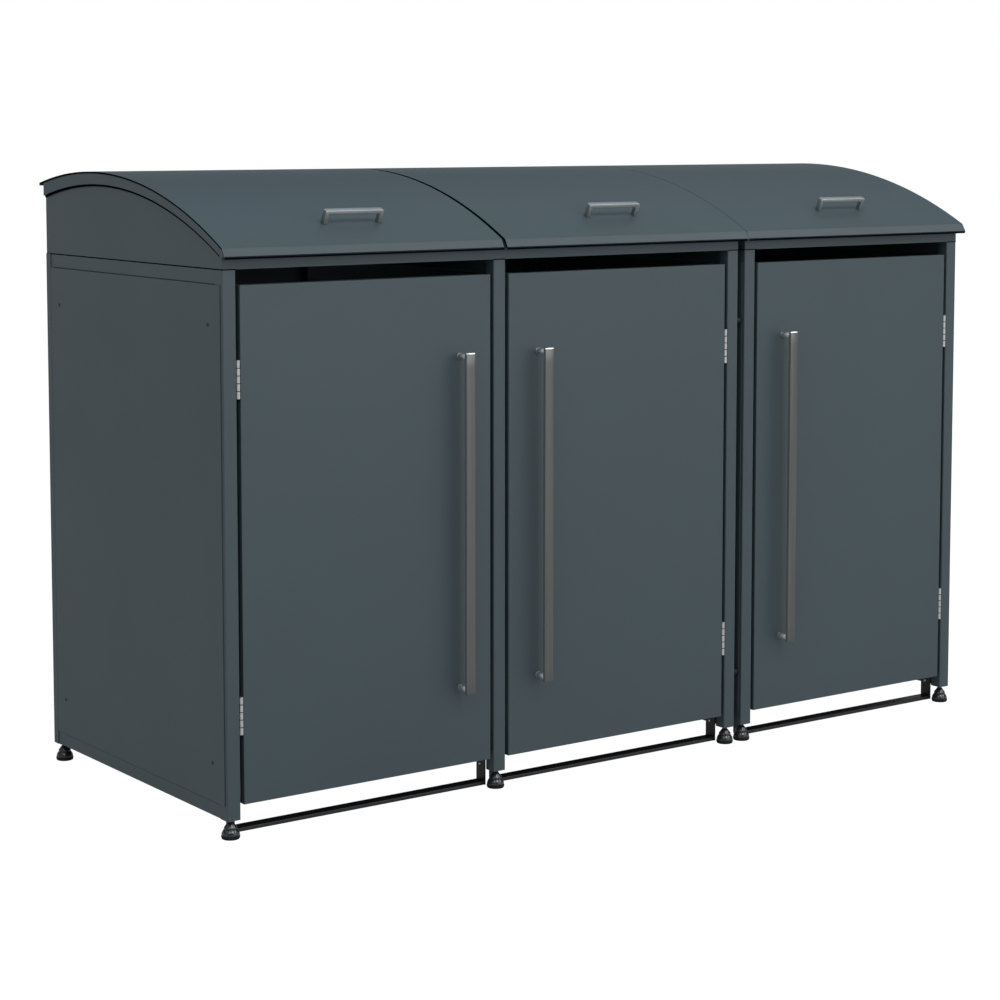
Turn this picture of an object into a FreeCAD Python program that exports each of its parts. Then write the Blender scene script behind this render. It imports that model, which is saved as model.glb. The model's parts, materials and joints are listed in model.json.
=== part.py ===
import FreeCAD, Part
import Sketcher
import math
import os

# Wheelie bin store: a double unit and a single unit side by side, each a welded
# tube frame with sheet panels, a barrel lid and a folded door for every bay.
# Layout axes: X to the right, Y from the door plane towards the back, Z up from the floor.

doc = FreeCAD.newDocument("wheelie_bin_store")
sheet = doc.addObject("Spreadsheet::Sheet", "sizes")

# Driving sizes in millimetres and degrees
table = [
    ("bay_opening", 610, "clear width of a bay between its posts"),
    ("post_width", 30, "square side of the post tube"),
    ("post_length", 1081, "height of the side frames"),
    ("store_depth", 772, "door plane to back face"),
    ("unit_gap", 20, "space between the double and the single unit"),
    ("foot_height", 38, "floor to the bottom of the posts"),
    ("tube_wall", 1.5, "wall of the frame tubes"),
    ("tube_corner", 2.5, "outer corner radius of the frame tubes"),
    ("rail_height", 30, "visible height of the frame rails"),
    ("rail_width", 20, "thickness of the frame rails"),
    ("sheet_wall", 1.5, "sheet of the panels, doors and lids"),
    ("panel_inset", 8, "front edge of a side panel behind the door plane"),
    ("panel_lip", 12, "folded lips of a side panel"),
    ("seam_gap", 1, "joint between a side panel and the back panel"),
    ("back_wrap", 20, "flange of the back panel round the rear posts"),
    ("stiffener_width", 26, "leg of the stiffener on the side panel"),
    ("stiffener_leg", 15, "leg of the stiffener into the bay"),
    ("stiffener_gap", 0.5, "stiffener end to the lip of its panel"),
    ("stiffener_front", 56, "front stiffener behind the door plane"),
    ("stiffener_rear", 69, "rear stiffener before the back face"),
    ("header_height", 43, "front board of the hood"),
    ("hood_back_gap", 11.2, "back board of the hood under the lid"),
    ("hood_flange", 25, "folded flanges of the hood boards"),
    ("gable_gap", 3, "gable edge under the lid sheet"),
    ("lid_radius", 1160, "outer radius of the barrel lid"),
    ("lid_crest", 535, "crest of the lid behind the door plane"),
    ("lid_overhang", 7.5, "lid past the outer face of its posts"),
    ("lid_gap", 5, "space between the two lids of the double unit"),
    ("lid_rear_reach", 16, "lid past the back face"),
    ("nose_reach", 13.6, "front bend of the lid before the door plane"),
    ("nose_height", 42.1, "front bend of the lid above the side frames"),
    ("lip_drop", 17.7, "height of the front lip of the lid"),
    ("lip_lean", 9.7, "forward slope of the front lip"),
    ("nose_radius", 5, "outer radius of the front bend"),
    ("rear_hem", 6, "turned-down rear edge of the lid"),
    ("cheek_inset", 2, "side flange in from the side edge of the lid"),
    ("flange_inset", 35, "radius of the flange's lower edge under that of the lid"),
    ("flange_forward", 18, "centre of that edge in front of the crest"),
    ("flange_rise", 9, "centre of that edge above the lid's centre"),
    ("inner_flange_end", 35, "inner side flange ends before the door plane and the back face"),
    ("gutter_gap", 4, "rain channel floor under the lid flanges"),
    ("gutter_depth", 8, "wall height of the rain channel"),
    ("gutter_width", 20, "clear width of the rain channel"),
    ("door_lift", 29, "door above the bottom of the posts"),
    ("door_top_gap", 31, "open slot over the door"),
    ("door_gap", 8.5, "door edge to post"),
    ("door_depth", 25, "folded sides of the door"),
    ("door_lip", 14, "inner lips of the door"),
    ("fold_radius", 1.2, "outer radius of the folded door edges"),
    ("grip_width", 22, "face of the handle bars"),
    ("grip_thick", 8, "thickness of the handle bars"),
    ("grip_edge", 1, "rounded edges of the handle bars"),
    ("door_grip_length", 710, "length of a door handle"),
    ("door_grip_reach", 40, "door face to the front of its handle"),
    ("door_grip_inset", 77, "handle bar from the free edge of the door"),
    ("standoff_width", 12, "diameter of the handle standoffs"),
    ("standoff_end", 9, "standoff centre from the end of the bar"),
    ("lid_grip_length", 138, "length of a lid handle"),
    ("lid_grip_height", 30, "height of a lid handle"),
    ("lid_grip_width", 12, "depth of the bar of a lid handle"),
    ("lid_grip_thick", 9, "thickness of that bar"),
    ("lid_grip_place", 66, "lid handle behind the door plane"),
    ("lid_grip_shift", 12, "lid handle right of the middle of its lid"),
    ("hinge_length", 75, "door hinge"),
    ("hinge_drop", 145, "upper door hinge under the top of the door"),
    ("hinge_rise", 140, "lower door hinge above the bottom of the door"),
    ("hinge_depth", 22, "depth of a door hinge leaf"),
    ("leaf_wall", 2, "hinge leaves"),
    ("knuckle_width", 8, "hinge knuckle diameter"),
    ("pin_width", 4, "hinge pin diameter"),
    ("pin_play", 0.06, "running fit on the pins, on the radius"),
    ("knuckle_gap", 0.3, "end play between knuckles"),
    ("hinge_set", 2, "door hinge axis behind the door plane"),
    ("lid_hinge_length", 60, "lid hinge"),
    ("lid_hinge_end", 130, "lid hinge from the ends of the lid"),
    ("lid_hinge_depth", 30, "depth of a lid hinge leaf"),
    ("lid_hinge_set", 5, "lid hinge axis behind the back face"),
    ("lid_open", 100, "opening angle of a lid"),
    ("stop_length", 10, "stop nose from the lid hinge axis"),
    ("stop_wall", 3, "thickness of the stop nose"),
    ("rest_gap", 0.3, "moving part to the stop that it rests on"),
    ("catch_height", 46, "magnetic catch"),
    ("catch_drop", 15, "catch below the top of the door"),
    ("catch_width", 16, "catch body along the door"),
    ("catch_depth", 18, "catch body behind the door"),
    ("bumper_width", 12, "lid bumper diameter"),
    ("bumper_end", 60, "lid bumper from the ends of the lid"),
    ("rail_lift", 4, "floor rail above the floor"),
    ("threshold_height", 8, "floor rail"),
    ("threshold_width", 30, "floor rail and its uprights, front to back"),
    ("threshold_edge", 2, "rounded edges of the floor rail"),
    ("tab_wall", 3, "uprights of the floor rail"),
    ("tab_top", 116, "top of the uprights above the floor"),
    ("ear_height", 32, "ear of an upright on its post"),
    ("ear_inset", 5, "front edge of the ear behind the door plane"),
    ("foot_width", 36, "base of a levelling foot"),
    ("foot_base", 7.5, "height of the rim of a foot"),
    ("foot_shoulder", 14.5, "top of the foot's shoulder"),
    ("foot_step", 29, "diameter at the top of the shoulder"),
    ("foot_collar", 24, "lower diameter of the foot's cone"),
    ("foot_cone", 30, "top of the cone above the floor"),
    ("foot_neck", 10, "neck over the cone"),
    ("stem_width", 8, "screw of a levelling foot"),
    ("stem_top", 60, "top of the screw above the floor"),
    ("nut_height", 10, "nut plate in the post"),
    ("thread_play", 0.05, "running fit of the foot screw, on the radius"),
    ("tie_low", 160, "lower spacer sleeves above the floor"),
    ("tie_high", 960, "upper spacer sleeves above the floor"),
    ("tie_bore", 9, "bolt hole of the spacer sleeves"),
    ("tie_sleeve", 18, "spacer sleeve diameter"),
]


class Size:
    """A length that keeps its number and the formula that binds it to the sheet."""

    def __init__(self, value, formula):
        self.value = value
        self.formula = formula

    def __add__(self, other):
        other = dim(other)
        return Size(self.value + other.value, f"({self.formula} + {other.formula})")

    def __sub__(self, other):
        other = dim(other)
        return Size(self.value - other.value, f"({self.formula} - {other.formula})")

    def __mul__(self, other):
        other = dim(other)
        return Size(self.value * other.value, f"({self.formula} * {other.formula})")

    def __truediv__(self, other):
        other = dim(other)
        return Size(self.value / other.value, f"({self.formula} / {other.formula})")

    def __neg__(self):
        return Size(-self.value, f"(0 - {self.formula})")

    def root(self):
        return Size(math.sqrt(self.value), f"sqrt({self.formula})")


def dim(thing):
    if isinstance(thing, Size):
        return thing
    return Size(float(thing), f"({float(thing)})")


size = {}
for line, (alias, value, note) in enumerate(table, start=1):
    sheet.set(f"A{line}", alias)
    sheet.set(f"B{line}", str(value))
    sheet.set(f"C{line}", note)
    sheet.setAlias(f"B{line}", alias)
    size[alias] = Size(float(value), f"sizes.{alias}")
doc.recompute()

zero = dim(0)
wall = size["sheet_wall"]
post = size["post_width"]
depth = size["store_depth"]
opening = size["bay_opening"]

# Heights
frame_bottom = size["foot_height"]
frame_top = frame_bottom + size["post_length"]
rail_low = frame_bottom + size["rail_height"]
rail_high = frame_top - size["rail_height"]
header_top = frame_top + size["header_height"]
door_bottom = frame_bottom + size["door_lift"]
door_height = size["post_length"] - size["door_lift"] - size["door_top_gap"]
door_top = door_bottom + door_height

# The lid's arc passes through its front bend, so its centre follows from that bend
tall = size["lid_radius"]
nose_run = size["lid_crest"] + size["nose_reach"]
lid_centre = frame_top + size["nose_height"] - (tall * tall - nose_run * nose_run).root()
back_run = depth - size["lid_crest"]
lid_back = lid_centre + (tall * tall - back_run * back_run).root()
hood_back_top = lid_back - size["hood_back_gap"]
flange_radius = tall - size["flange_inset"]

# Left faces of the side frames, named by their order from the left
pitch = post + opening
frame_left = {"one": zero, "two": pitch, "three": pitch + pitch}
frame_left["four"] = frame_left["three"] + post + size["unit_gap"]
frame_left["five"] = frame_left["four"] + pitch
total_width = frame_left["five"] + post

# Each bay: the frames on its left and right, and the side of its door hinges
bays = [
    {"left": "one", "right": "two", "hinge": "left"},
    {"left": "two", "right": "three", "hinge": "right"},
    {"left": "four", "right": "five", "hinge": "right"},
]

# Each unit: its first and last frame
units = {"double": ("one", "three"), "single": ("four", "five")}
opposite = {"left": "right", "right": "left"}

# Depths
back_inner = depth - wall
rear_post = back_inner - post
rear_rail = back_inner - size["rail_width"]
hinge_line = depth + size["lid_hinge_set"]
hinge_height = hood_back_top + size["knuckle_width"] / 2
back_reach = depth + size["lid_rear_reach"]

# The layout moves so that the origin is under the middle of the whole store
shift_x = -(total_width / 2)
shift_y = -((back_reach - size["door_grip_reach"]) / 2)

nodes = {}


def bind(item, property_name, length):
    item.setExpression(property_name, dim(length).formula)


def place(item, x, y, z):
    bind(item, "Placement.Base.x", x)
    bind(item, "Placement.Base.y", y)
    bind(item, "Placement.Base.z", z)
    return item


def box(x, y, z, dx, dy, dz):
    item = doc.addObject("Part::Box", "block")
    bind(item, "Length", dx)
    bind(item, "Width", dy)
    bind(item, "Height", dz)
    return place(item, x, y, z)


turns = {
    "x": FreeCAD.Rotation(FreeCAD.Vector(0, 1, 0), 90),
    "y": FreeCAD.Rotation(FreeCAD.Vector(1, 0, 0), -90),
    "z": FreeCAD.Rotation(),
}


def rod(axis, x, y, z, width, length):
    """A round bar that starts at the point and runs along the axis."""
    item = doc.addObject("Part::Cylinder", "rod")
    item.Placement.Rotation = turns[axis]
    bind(item, "Radius", dim(width) / 2)
    bind(item, "Height", length)
    return place(item, x, y, z)


def fuse(*members):
    item = doc.addObject("Part::MultiFuse", "joined")
    item.Shapes = list(members)
    return item


def cut(base, *tools):
    item = doc.addObject("Part::Cut", "cut")
    item.Base = base
    item.Tool = tools[0] if len(tools) == 1 else fuse(*tools)
    return item


def group(*members):
    item = doc.addObject("Part::Compound", "group")
    item.Links = list(members)
    return item


sample = Part.makeBox(1, 2, 3)


def box_edges(test):
    """Numbers of the edges of a block whose two ends pass the test."""
    found = []
    for number, edge in enumerate(sample.Edges, start=1):
        first, last = (vertex.Point for vertex in edge.Vertexes)
        if test(first, last):
            found.append(number)
    return found


edges_along = {
    "x": box_edges(lambda first, last: abs(first.x - last.x) > 0.5),
    "y": box_edges(lambda first, last: abs(first.y - last.y) > 0.5),
    "z": box_edges(lambda first, last: abs(first.z - last.z) > 0.5),
}
front_edges = box_edges(lambda first, last: first.y + last.y < 0.5)


def rounded(block, numbers, radius):
    item = doc.addObject("Part::Fillet", "rounded")
    item.Base = block
    item.Edges = [(number, radius.value, radius.value) for number in numbers]
    return item


def eased(block, numbers, leg):
    item = doc.addObject("Part::Chamfer", "eased")
    item.Base = block
    item.Edges = [(number, leg.value, leg.value) for number in numbers]
    return item


def tube(axis, x, y, z, dx, dy, dz):
    """Rectangular frame tube along the axis, open at its ends."""
    skin = size["tube_wall"]
    outer = rounded(box(x, y, z, dx, dy, dz), edges_along[axis], size["tube_corner"])
    inner = {"x": (zero, skin, skin), "y": (skin, zero, skin), "z": (skin, skin, zero)}[axis]
    bore = box(
        x + inner[0], y + inner[1], z + inner[2],
        dx - inner[0] * 2, dy - inner[1] * 2, dz - inner[2] * 2,
    )
    return cut(outer, bore)


def node(label, item):
    """Registers a finished piece and moves it from the layout to the part's own frame."""
    item.Label = label
    place(item, shift_x, shift_y, zero)
    nodes[label] = item
    return item


def solid_node(label, shape):
    """Registers a piece whose shape is worked out from the sheet's values."""
    item = doc.addObject("Part::Feature", label)
    item.Shape = shape
    item.Label = label
    item.Placement = FreeCAD.Placement(
        FreeCAD.Vector(shift_x.value, shift_y.value, 0), FreeCAD.Rotation()
    )
    place(item, shift_x, shift_y, zero)
    nodes[label] = item
    return item


def plane(body, role):
    return [item for item in body.Origin.OriginFeatures if item.Role == role][0]


def outline(body, role, corners):
    """Closed sketch of straight lines; every corner is bound to the sheet."""
    sketch = body.newObject("Sketcher::SketchObject", "outline")
    sketch.AttachmentSupport = (plane(body, role), [""])
    sketch.MapMode = "FlatFace"
    points = [FreeCAD.Vector(dim(across).value, dim(up).value, 0) for across, up in corners]
    count = len(points)
    for first in range(count):
        sketch.addGeometry(Part.LineSegment(points[first], points[(first + 1) % count]), False)
    for first in range(count):
        following = (first + 1) % count
        sketch.addConstraint(Sketcher.Constraint("Coincident", first, 2, following, 1))
    for number, (across, up) in enumerate(corners):
        for kind, length in (("DistanceX", dim(across)), ("DistanceY", dim(up))):
            datum = sketch.addConstraint(
                Sketcher.Constraint(kind, -1, 1, number, 1, length.value)
            )
            sketch.renameConstraint(datum, f"{kind}{number}")
            sketch.setExpression(f"Constraints.{kind}{number}", length.formula)
    return sketch


# Frames: two posts joined by rails, with a nut plate for the foot in each post
def nut_plate(x, y):
    side = post - size["tube_wall"] * 2
    plate = box(
        x + size["tube_wall"], y + size["tube_wall"], frame_bottom,
        side, side, size["nut_height"],
    )
    hole = size["stem_width"] + size["thread_play"] * 2
    return cut(plate, rod("z", x + post / 2, y + post / 2, frame_bottom, hole, size["nut_height"]))


rail_room = post - size["rail_width"]
rail_shift = {"one": zero, "two": rail_room / 2, "three": rail_room, "four": zero, "five": rail_room}
for number, (name, left) in enumerate(frame_left.items(), start=1):
    members = []
    for front in (zero, rear_post):
        members.append(tube("z", left, front, frame_bottom, post, post, size["post_length"]))
        members.append(nut_plate(left, front))
    levels = [rail_high] if name == "two" else [rail_high, frame_bottom]
    for level in levels:
        members.append(tube(
            "y", left + rail_shift[name], post, level,
            size["rail_width"], rear_post - post, size["rail_height"],
        ))
    node(f"side_frame_{number}", group(*members))

rails = []
for bay in bays:
    for level in (frame_bottom, rail_high):
        rails.append(tube(
            "x", frame_left[bay["left"]] + post, rear_rail, level,
            opening, size["rail_width"], size["rail_height"],
        ))
node("rear_rails", group(*rails))

# Side panels with folded lips, each on two upright stiffeners
panel_frames = [("one", "left"), ("three", "right"), ("four", "left"), ("five", "right")]
stiffeners = []


def span(face, side, near, far):
    """Low end and length, on X, of a stretch from near to far off a face."""
    low = face + dim(near) if side == "right" else face - dim(far)
    return low, dim(far) - dim(near)


for count, (name, side) in enumerate(panel_frames, start=1):
    face = frame_left[name] if side == "left" else frame_left[name] + post
    inner_side = opposite[side]
    low, length = span(face, side, zero, wall)
    field = box(
        low, size["panel_inset"], rail_low,
        length, depth - size["back_wrap"] - size["seam_gap"] - size["panel_inset"],
        rail_high - rail_low,
    )
    inward, reach = span(face, inner_side, zero, size["panel_lip"])
    lips = [
        box(inward, post, level, reach, rear_post - post, wall)
        for level in (rail_low, rail_high - wall)
    ]
    node(f"side_panel_{count}", fuse(field, *lips))
    for y in (size["stiffener_front"], depth - size["stiffener_rear"]):
        base = rail_low + wall + size["stiffener_gap"]
        height = rail_high - wall - size["stiffener_gap"] - base
        start = y - size["stiffener_width"] / 2
        leaf_low, leaf = span(face, inner_side, zero, wall)
        leg_low, leg = span(face, inner_side, zero, size["stiffener_leg"])
        stiffeners.append(fuse(
            box(leaf_low, start, base, leaf, size["stiffener_width"], height),
            box(leg_low, start, base, leg, wall, height),
        ))
node("panel_stiffeners", group(*stiffeners))

# Back panels that wrap round the rear posts, headers and hood backs, one set for each unit
for name, (first, last) in units.items():
    left = frame_left[first]
    width = frame_left[last] + post - left
    sheet_part = box(
        left - wall, back_inner, frame_bottom, width + wall * 2, wall, size["post_length"]
    )
    wraps = [
        box(x, depth - size["back_wrap"], frame_bottom, wall, size["back_wrap"], size["post_length"])
        for x in (left - wall, left + width)
    ]
    node(f"back_panel_{name}", fuse(sheet_part, *wraps))
    inner = width - wall * 2
    board = rounded(
        box(left, zero, frame_top, width, wall, size["header_height"]),
        front_edges, size["fold_radius"],
    )
    flanges = [
        box(left + wall, zero, level, inner, size["hood_flange"], wall)
        for level in (frame_top, header_top - wall)
    ]
    node(f"header_{name}", fuse(board, *flanges))
    board = box(left, back_inner, frame_top, width, wall, hood_back_top - frame_top)
    flanges = [
        box(left + wall, depth - size["hood_flange"], level, inner, size["hood_flange"], wall)
        for level in (frame_top, hood_back_top - wall)
    ]
    node(f"hood_back_{name}", fuse(board, *flanges))


# Curved sheets are cut from discs that lie on edge, with their axes along X
def disc(x, width, radius, forward=0.0, rise=0.0):
    centre = FreeCAD.Vector(x, size["lid_crest"].value - forward, lid_centre.value + rise)
    return Part.makeCylinder(radius, width, centre, FreeCAD.Vector(1, 0, 0))


def block(x, y, z, dx, dy, dz):
    return Part.makeBox(dx, dy, dz, FreeCAD.Vector(x, y, z))


skin = wall.value
radius = tall.value
gable_radius = radius - skin - size["gable_gap"].value


def gable(name, side):
    """Arched end plate, folded along its foot into a flange on the top rail."""
    face = frame_left[name].value if side == "left" else (frame_left[name] + post).value
    outer = face if side == "left" else face - skin
    plate = disc(outer, skin, gable_radius).common(
        block(outer, skin, frame_top.value, skin, (depth - wall * 2).value, radius)
    )
    reach = size["hood_flange"].value
    start = face if side == "left" else face - reach
    length = (rear_post - post).value
    flange = block(start, post.value, frame_top.value, reach, length, skin)
    folded = plate.fuse(flange).removeSplitter()
    fold = [
        edge for edge in folded.Edges
        if all(math.hypot(v.X - face, v.Z - frame_top.value) < skin / 2 for v in edge.Vertexes)
    ]
    return folded.makeFillet(size["fold_radius"].value, fold)


for count, (name, side) in enumerate(panel_frames, start=1):
    solid_node(f"gable_{count}", gable(name, side))


def centre_arch():
    """Web on the middle frame that carries a curved rain channel under the lid joint."""
    middle = (frame_left["two"] + post / 2).value
    forward = size["flange_forward"].value
    rise = size["flange_rise"].value
    floor = flange_radius.value - size["gutter_gap"].value
    rim = floor + size["gutter_depth"].value
    half = size["gutter_width"].value / 2
    reach = size["rail_width"].value / 2
    front = size["hood_flange"].value + skin
    length = depth.value - front * 2
    window = block(middle - half - skin, front, frame_top.value, 2 * (half + skin), length, radius)
    outer = disc(middle - half - skin, 2 * (half + skin), rim, forward, rise)
    under = disc(middle - half - skin, 2 * (half + skin), floor - skin, forward, rise)
    inside = disc(middle - half, 2 * half, rim + skin, forward, rise)
    keep = disc(middle - half, 2 * half, floor, forward, rise)
    channel = outer.cut(under).cut(inside.cut(keep))
    web = disc(middle - skin / 2, skin, floor - skin / 2, forward, rise)
    flange = block(middle - reach, post.value, frame_top.value, 2 * reach, (rear_post - post).value, skin)
    return channel.fuse(web).common(window).fuse(flange).removeSplitter()


solid_node("centre_arch", centre_arch())

# Lids
nose_y = -size["nose_reach"].value
nose_z = (frame_top + size["nose_height"]).value
lip_y = nose_y - size["lip_lean"].value
lip_z = nose_z - size["lip_drop"].value
lip_length = math.hypot(size["lip_lean"].value, size["lip_drop"].value)
lip_along = (-size["lip_lean"].value / lip_length, -size["lip_drop"].value / lip_length)
lip_inward = (-lip_along[1], lip_along[0])


def lid_block(x, width, shrink, rear, bottom):
    """Solid under the lid's outline, moved in from the outline by the shrink."""
    centre_y = size["lid_crest"].value
    centre_z = lid_centre.value
    reach = radius - shrink
    start_y = nose_y + lip_inward[0] * shrink
    start_z = nose_z + lip_inward[1] * shrink
    # The lip line meets the arc a distance back up from its start
    across = start_y - centre_y
    up = start_z - centre_z
    half_b = across * lip_along[0] + up * lip_along[1]
    slide = -half_b - math.sqrt(half_b ** 2 - (across ** 2 + up ** 2 - reach ** 2))
    bend_y = start_y + lip_along[0] * slide
    bend_z = start_z + lip_along[1] * slide
    foot_y = bend_y + lip_along[0] * (bottom - bend_z) / lip_along[1]
    rear_z = centre_z + math.sqrt(reach ** 2 - (rear - centre_y) ** 2)
    bend = FreeCAD.Vector(x, bend_y, bend_z)
    crest = FreeCAD.Vector(x, centre_y, centre_z + reach)
    back = FreeCAD.Vector(x, rear, rear_z)
    low_back = FreeCAD.Vector(x, rear, bottom)
    low_front = FreeCAD.Vector(x, foot_y, bottom)
    arc = Part.Arc(bend, crest, back).toShape()
    sides = [
        Part.makeLine(back, low_back),
        Part.makeLine(low_back, low_front),
        Part.makeLine(low_front, bend),
    ]
    face = Part.Face(Part.Wire([arc] + sides))
    return face.extrude(FreeCAD.Vector(width, 0, 0)), bend


def soften(shape, bend, bend_radius):
    """Rounds the long edge that runs along X through the bend."""
    chosen = []
    for edge in shape.Edges:
        middle = edge.CenterOfMass
        if math.hypot(middle.y - bend.y, middle.z - bend.z) < skin / 2:
            chosen.append(edge)
    return shape.makeFillet(bend_radius, chosen)


lid_ends = [
    (-size["lid_overhang"], frame_left["two"] + post / 2 - size["lid_gap"] / 2),
    (frame_left["two"] + post / 2 + size["lid_gap"] / 2, frame_left["three"] + post + size["lid_overhang"]),
    (frame_left["four"] - size["lid_overhang"], total_width + size["lid_overhang"]),
]
inner_ends = [(False, True), (True, False), (False, False)]
lid_angle = math.asin((size["lid_crest"].value - size["lid_grip_place"].value) / radius)
lid_normal = FreeCAD.Vector(0, -math.sin(lid_angle), math.cos(lid_angle))


def grip_point(left, right):
    """Middle of the lid handle's footprint on the outside of the lid."""
    x = (left.value + right.value) / 2 + size["lid_grip_shift"].value
    y = size["lid_crest"].value
    return FreeCAD.Vector(x, y, lid_centre.value) + lid_normal * radius


def lid(left, right, inner):
    """Bent sheet with a steep front lip, a turned-down rear edge and side flanges."""
    x = left.value
    width = right.value - x
    rear = back_reach.value
    outer, bend = lid_block(x, width, 0.0, rear, lip_z)
    solid = soften(outer, bend, size["nose_radius"].value)
    hollow, bend = lid_block(x - skin, width + 2 * skin, skin, rear - skin, lip_z - skin)
    hollow = soften(hollow, bend, size["nose_radius"].value - skin)
    shell = solid.cut(hollow)
    rear_z = lid_centre.value + math.sqrt(radius ** 2 - (rear - size["lid_crest"].value) ** 2)
    hem_z = rear_z - size["rear_hem"].value
    shell = shell.cut(block(x - skin, rear - 2 * skin, lip_z - skin, width + 2 * skin, 3 * skin, hem_z - lip_z + skin))
    below = disc(
        x - skin, width + 2 * skin, flange_radius.value,
        size["flange_forward"].value, size["flange_rise"].value,
    )
    inset = size["cheek_inset"].value
    for start, short in ((x + inset, inner[0]), (x + width - inset - skin, inner[1])):
        front = size["inner_flange_end"].value if short else lip_y
        end = depth.value - (size["inner_flange_end"].value if short else 0)
        cheek = solid.common(block(start, front, lip_z, skin, end - front, radius)).cut(below)
        shell = shell.fuse(cheek)
    half_hinge = size["lid_hinge_length"].value / 2 + size["knuckle_gap"].value
    for middle in lid_hinge_middles(left, right):
        start = middle.value - half_hinge
        notch = block(start, rear - 2 * skin, hem_z - skin, 2 * half_hinge, 3 * skin, 3 * (rear_z - hem_z))
        shell = shell.cut(notch.common(disc(start, 2 * half_hinge, radius - skin)))
    return shell.removeSplitter()


def lid_hinge_middles(left, right):
    inset = size["lid_hinge_end"] + size["lid_hinge_length"] / 2
    return (left + inset, right - inset)


for count, (left, right) in enumerate(lid_ends, start=1):
    solid_node(f"lid_{count}", lid(left, right, inner_ends[count - 1]))


# Lid handles: flat bar bent to a bow that stands square on the lid
def lid_handle(label, left, right):
    body = doc.addObject("PartDesign::Body", label)
    half = size["lid_grip_length"] / 2
    high = size["lid_grip_height"]
    thick = size["lid_grip_thick"]
    bow = outline(body, "XZ_Plane", [
        (-half, zero), (-half, high), (half, high), (half, zero),
        (half - thick, zero), (half - thick, high - thick),
        (thick - half, high - thick), (thick - half, zero),
    ])
    pad = body.newObject("PartDesign::Pad", "bow")
    pad.Profile = bow
    pad.Midplane = True
    bind(pad, "Length", size["lid_grip_width"])
    return body


lid_bows = []
for count, (left, right) in enumerate(lid_ends, start=1):
    lid_bows.append(lid_handle(f"lid_bow_{count}", left, right))
doc.recompute()

for count, (body, (left, right)) in enumerate(zip(lid_bows, lid_ends), start=1):
    pad = body.Tip
    crest = size["lid_grip_height"].value
    rims = [
        f"Edge{index}" for index, edge in enumerate(pad.Shape.Edges, start=1)
        if edge.CenterOfMass.z > crest - skin / 2
    ]
    chamfer = body.newObject("PartDesign::Chamfer", "eased")
    chamfer.Base = (pad, rims)
    bind(chamfer, "Size", size["grip_edge"])
    body.Tip = chamfer
    upright = FreeCAD.Rotation(FreeCAD.Vector(1, 0, 0), math.degrees(lid_angle))
    body.Placement = FreeCAD.Placement(grip_point(left, right), upright)
    middle = (left + right) / 2 + size["lid_grip_shift"]
    bind(body, "Placement.Base.x", middle)
    node(f"lid_handle_{count}", group(body))


# Lid hinges: the frame leaf lies on the hood back, the lid leaf under the lid sheet
def lid_hinge_parts(middle):
    half = size["lid_hinge_length"] / 2
    third = size["lid_hinge_length"] / 3
    gap = size["knuckle_gap"]
    front = hinge_line - size["lid_hinge_set"] - size["lid_hinge_depth"]
    clear = size["knuckle_width"] / 2 + gap
    bore = size["pin_width"] + size["pin_play"] * 2
    plate = box(
        middle - half, front, hood_back_top,
        size["lid_hinge_length"], hinge_line - clear - front, size["leaf_wall"],
    )
    ends = [plate]
    for start in (middle - half, middle + third / 2):
        ends.append(box(start, hinge_line - clear, hood_back_top, third, clear, size["leaf_wall"]))
        ends.append(rod("x", start, hinge_line, hinge_height, size["knuckle_width"], third))
    frame_leaf = cut(
        fuse(*ends),
        rod("x", middle - half, hinge_line, hinge_height, size["pin_width"], size["lid_hinge_length"]),
    )
    pin = rod(
        "x", middle - half, hinge_line, hinge_height, size["pin_width"], size["lid_hinge_length"]
    )
    return frame_leaf, pin, (third - gap * 2), bore


def lid_leaf(middle, knuckle, bore):
    """Curved plate under the lid sheet, its knuckle and the nose that stops the lid."""
    half = size["lid_hinge_length"].value / 2
    top = radius - skin
    low = top - size["leaf_wall"].value
    axis_y = hinge_line.value
    axis_z = hinge_height.value
    knuckle_radius = size["knuckle_width"].value / 2
    clear = knuckle_radius + size["knuckle_gap"].value
    front = depth.value - size["lid_hinge_depth"].value
    left = middle.value - half
    narrow = middle.value - knuckle.value / 2
    ring = disc(left, 2 * half, top).cut(disc(left, 2 * half, low))
    plate = ring.common(block(left, front, lid_centre.value, 2 * half, axis_y - clear - front, radius * 2))
    tongue = ring.common(block(narrow, axis_y - 2 * clear, lid_centre.value, knuckle.value, 2 * clear, radius * 2))
    barrel = Part.makeCylinder(
        knuckle_radius, knuckle.value,
        FreeCAD.Vector(narrow, axis_y, axis_z), FreeCAD.Vector(1, 0, 0),
    )
    # The nose meets the hood back when the lid has turned through its opening angle
    reach = size["stop_length"].value
    thick = size["stop_wall"].value
    room = size["lid_hinge_set"].value - size["rest_gap"].value
    slant = math.asin(room / math.hypot(reach, thick / 2)) - math.atan2(thick / 2, reach)
    angle = size["lid_open"].value - 90 - math.degrees(slant)
    nose = block(narrow, 0, -thick / 2, knuckle.value, reach, thick)
    nose.rotate(FreeCAD.Vector(narrow, 0, 0), FreeCAD.Vector(1, 0, 0), angle)
    nose.translate(FreeCAD.Vector(0, axis_y, axis_z))
    hole = Part.makeCylinder(
        bore.value / 2, knuckle.value * 2,
        FreeCAD.Vector(narrow - knuckle.value / 2, axis_y, axis_z), FreeCAD.Vector(1, 0, 0),
    )
    return plate.fuse([tongue, barrel, nose]).cut(hole).removeSplitter()


pins = []
frame_leaves = []
for count, (left, right) in enumerate(lid_ends, start=1):
    leaves = []
    for middle in lid_hinge_middles(left, right):
        frame_leaf, pin, knuckle, bore = lid_hinge_parts(middle)
        frame_leaves.append(frame_leaf)
        pins.append(pin)
        leaves.append(lid_leaf(middle, knuckle, bore))
    solid_node(f"lid_hinge_leaf_{count}", Part.makeCompound(leaves))
node("lid_hinge_frame_leaves", group(*frame_leaves))

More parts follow.
